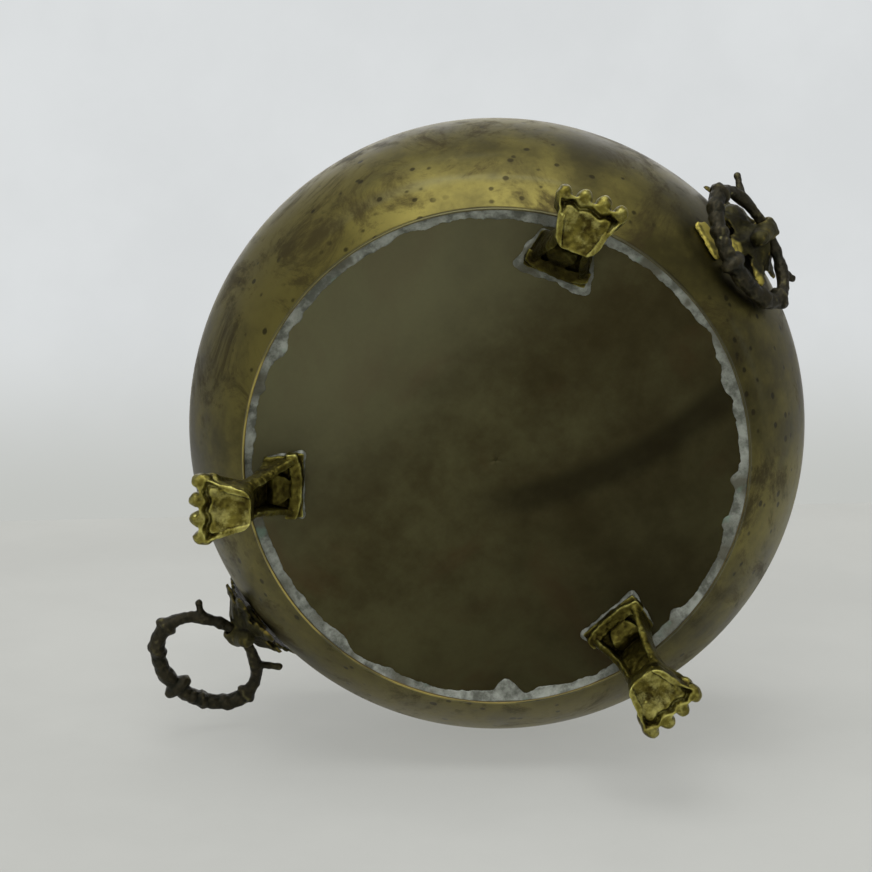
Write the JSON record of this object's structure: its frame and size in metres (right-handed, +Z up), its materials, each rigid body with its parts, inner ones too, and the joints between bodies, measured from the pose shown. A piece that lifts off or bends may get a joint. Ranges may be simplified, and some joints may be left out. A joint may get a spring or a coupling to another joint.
{
  "type": "footed bowl",
  "caption": "Round bulged brass bowl on three paw feet, with an inset soldered base and two loose twig rings hung from leaf mounts.",
  "frame": {"origin": "on the bowl's axis, on the plane that the three feet stand on", "axes": "+Z up along the bowl's axis; the two ring handles are at +X and -X; one foot is at -Y"},
  "size_m": [0.351, 0.28, 0.1648],
  "materials": {
    "bowl_brass": "aged yellow brass, brown-green patina, half gloss",
    "base_brass": "dull dark brown-green patina",
    "solder": "grey oxidised soft solder, ragged edge",
    "foot_brass": "rough cast yellow brass",
    "mount_bronze": "rough cast, dark olive patina with brassy high spots",
    "ring_bronze": "rough cast, nearly black brown patina, green in the hollows",
    "fastener_brass": "turned brass",
    "fastener_steel": "plain steel"
  },
  "bodies": {
    "bowl": {"bowl_body": "bowl_brass", "base_disc": "base_brass", "base_solder_seam": "solder", "paw_foot_front": "foot_brass", "foot_solder_front": "solder", "paw_foot_back_right": "foot_brass", "foot_solder_back_right": "solder", "paw_foot_back_left": "foot_brass", "foot_solder_back_left": "solder", "handle_mount_right": "mount_bronze", "mount_stud_right": "fastener_brass", "mount_washer_right": "fastener_steel", "mount_nut_right": "fastener_steel", "handle_mount_left": "mount_bronze", "mount_stud_left": "fastener_brass", "mount_washer_left": "fastener_steel", "mount_nut_left": "fastener_steel"},
    "ring_right": {"ring_handle_right": "ring_bronze"},
    "ring_left": {"ring_handle_left": "ring_bronze"}
  },
  "joints": [
    {"name": "ring_right_swing", "type": "hinge", "parent": "bowl", "child": "ring_right", "pos_m": [0.1503, 0, 0.09946], "axis": [0.0663, 0.9487, -0.309], "range_deg": [-86, 119]},
    {"name": "ring_left_swing", "type": "hinge", "parent": "bowl", "child": "ring_left", "pos_m": [-0.1503, 0, 0.09946], "axis": [-0.1392, 0.9903, 0], "range_deg": [0, 205]}
  ]
}
